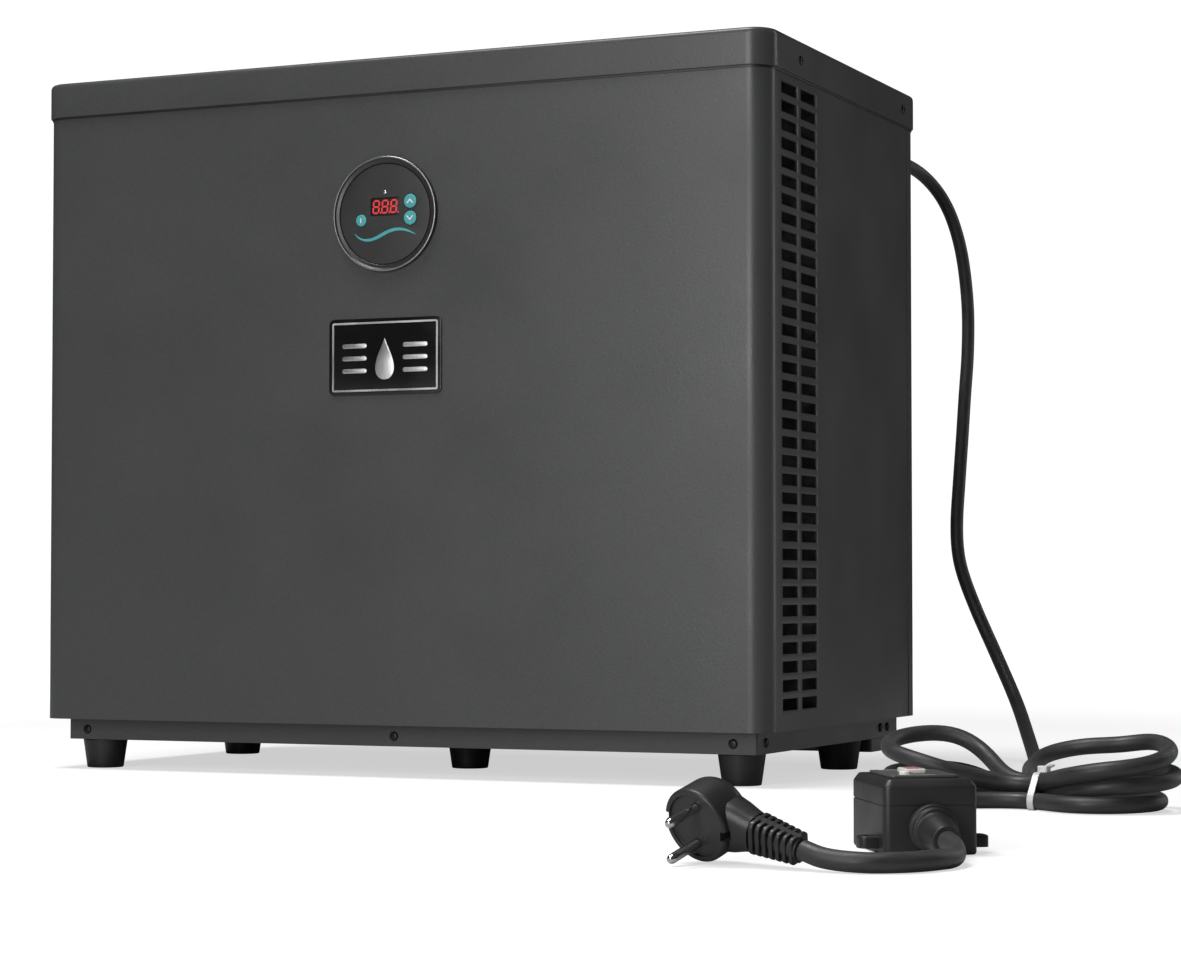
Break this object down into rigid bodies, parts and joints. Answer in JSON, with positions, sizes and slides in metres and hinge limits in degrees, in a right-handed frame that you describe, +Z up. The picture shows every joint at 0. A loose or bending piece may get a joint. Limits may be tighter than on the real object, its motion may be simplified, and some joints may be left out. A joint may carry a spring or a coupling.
{
  "type": "pool heat pump unit",
  "caption": "Plug-in pool heat pump: grey cabinet with side vents, round controller, rear fan, refrigeration parts and a mains lead with safety switch.",
  "frame": {"origin": "on the ground, under the middle of the unit's bounding box without its mains lead", "axes": "+Z up, +X to the right of someone facing the controller, +Y towards the back"},
  "size_m": [0.8513, 0.9514, 0.496],
  "materials": {
    "casing_paint": "matte dark grey powder coat",
    "foot_rubber": "smooth moulded rubber",
    "black_plastic": "fine moulded texture",
    "controller_grey": "satin overlay",
    "badge_black": "gloss with a silver border",
    "display_red": "smoked red window with lit digits",
    "key_teal": "satin",
    "fan_black": "moulded",
    "guard_steel": "black coated wire",
    "inner_steel": "galvanised sheet",
    "motor_black": "semi-gloss black enamel",
    "coil_fins": "thin bright fins",
    "mount_rubber": "matte",
    "pipe_grey": "smooth rigid plastic",
    "copper": "drawn copper",
    "cord_rubber": "matte rubber sheath",
    "tie_white": "nylon",
    "switch_black": "fine moulded texture",
    "label_grey": "printed plate",
    "key_white": "smooth",
    "pin_chrome": "nickel plated"
  },
  "bodies": {
    "cabinet": {"accumulator": "motor_black", "badge_plate": "badge_black", "base_pan": "casing_paint", "boot_in": "cord_rubber", "boot_out": "cord_rubber", "cable_gland": "black_plastic", "compressor": "motor_black", "compressor_mount_1": "mount_rubber", "compressor_mount_2": "mount_rubber", "compressor_mount_3": "mount_rubber", "controller_bezel": "black_plastic", "controller_face": "controller_grey", "controller_housing": "black_plastic", "cord_hank": "cord_rubber", "discharge_pipe": "copper", "display_window": "display_red", "drain_nozzle": "black_plastic", "electric_box": "pipe_grey", "electric_cover": "black_plastic", "evaporator_coil": "coil_fins", "fan_guard": "guard_steel", "fan_motor": "motor_black", "fan_shroud": "black_plastic", "filter_drier": "copper", "foot_front_left": "foot_rubber", "foot_front_right": "foot_rubber", "foot_middle": "foot_rubber", "foot_rear_left": "foot_rubber", "foot_rear_right": "foot_rubber", "four_way_valve": "copper", "front_casing": "casing_paint", "hank_tie": "tie_white", "heat_exchanger": "pipe_grey", "liquid_pipe": "copper", "motor_bracket": "inner_steel", "partition": "inner_steel", "plug_body": "switch_black", "plug_boot": "cord_rubber", "plug_cord": "cord_rubber", "plug_pin_1": "pin_chrome", "plug_pin_2": "pin_chrome", "rear_panel": "casing_paint", "rear_rail": "casing_paint", "suction_pipe": "copper", "supply_cord": "cord_rubber", "switch_body": "switch_black", "switch_cord": "cord_rubber", "switch_plate": "label_grey", "top_cover": "casing_paint", "water_inlet": "pipe_grey", "water_outlet": "pipe_grey"},
    "fan": {"fan_rotor": "fan_black"},
    "power_key": {"power_key": "key_teal"},
    "up_key": {"up_key": "key_teal"},
    "down_key": {"down_key": "key_teal"},
    "inlet_nut": {"inlet_nut": "black_plastic"},
    "outlet_nut": {"outlet_nut": "black_plastic"},
    "reset_key": {"reset_key": "key_white"},
    "test_key": {"test_key": "key_white"}
  },
  "joints": [
    {"name": "fan_spin", "type": "hinge", "parent": "cabinet", "child": "fan", "pos_m": [-0.085, 0.1046, 0.25], "axis": [0, 1, 0], "continuous": true},
    {"name": "power_press", "type": "slide", "parent": "cabinet", "child": "power_key", "axis": [0, 1, 0], "range_m": [0, 0.0006], "stiffness_N_per_m": 300},
    {"name": "up_press", "type": "slide", "parent": "cabinet", "child": "up_key", "axis": [0, 1, 0], "range_m": [0, 0.0006], "stiffness_N_per_m": 300},
    {"name": "down_press", "type": "slide", "parent": "cabinet", "child": "down_key", "axis": [0, 1, 0], "range_m": [0, 0.0006], "stiffness_N_per_m": 300},
    {"name": "inlet_nut_turn", "type": "hinge", "parent": "cabinet", "child": "inlet_nut", "pos_m": [0.226, 0.1406, 0.095], "axis": [0, 1, 0], "continuous": true},
    {"name": "outlet_nut_turn", "type": "hinge", "parent": "cabinet", "child": "outlet_nut", "pos_m": [0.226, 0.1406, 0.295], "axis": [0, 1, 0], "continuous": true},
    {"name": "reset_press", "type": "slide", "parent": "cabinet", "child": "reset_key", "axis": [0, 0, -1], "range_m": [0, 0.0018], "stiffness_N_per_m": 400},
    {"name": "test_press", "type": "slide", "parent": "cabinet", "child": "test_key", "axis": [0, 0, -1], "range_m": [0, 0.0012], "stiffness_N_per_m": 400}
  ]
}
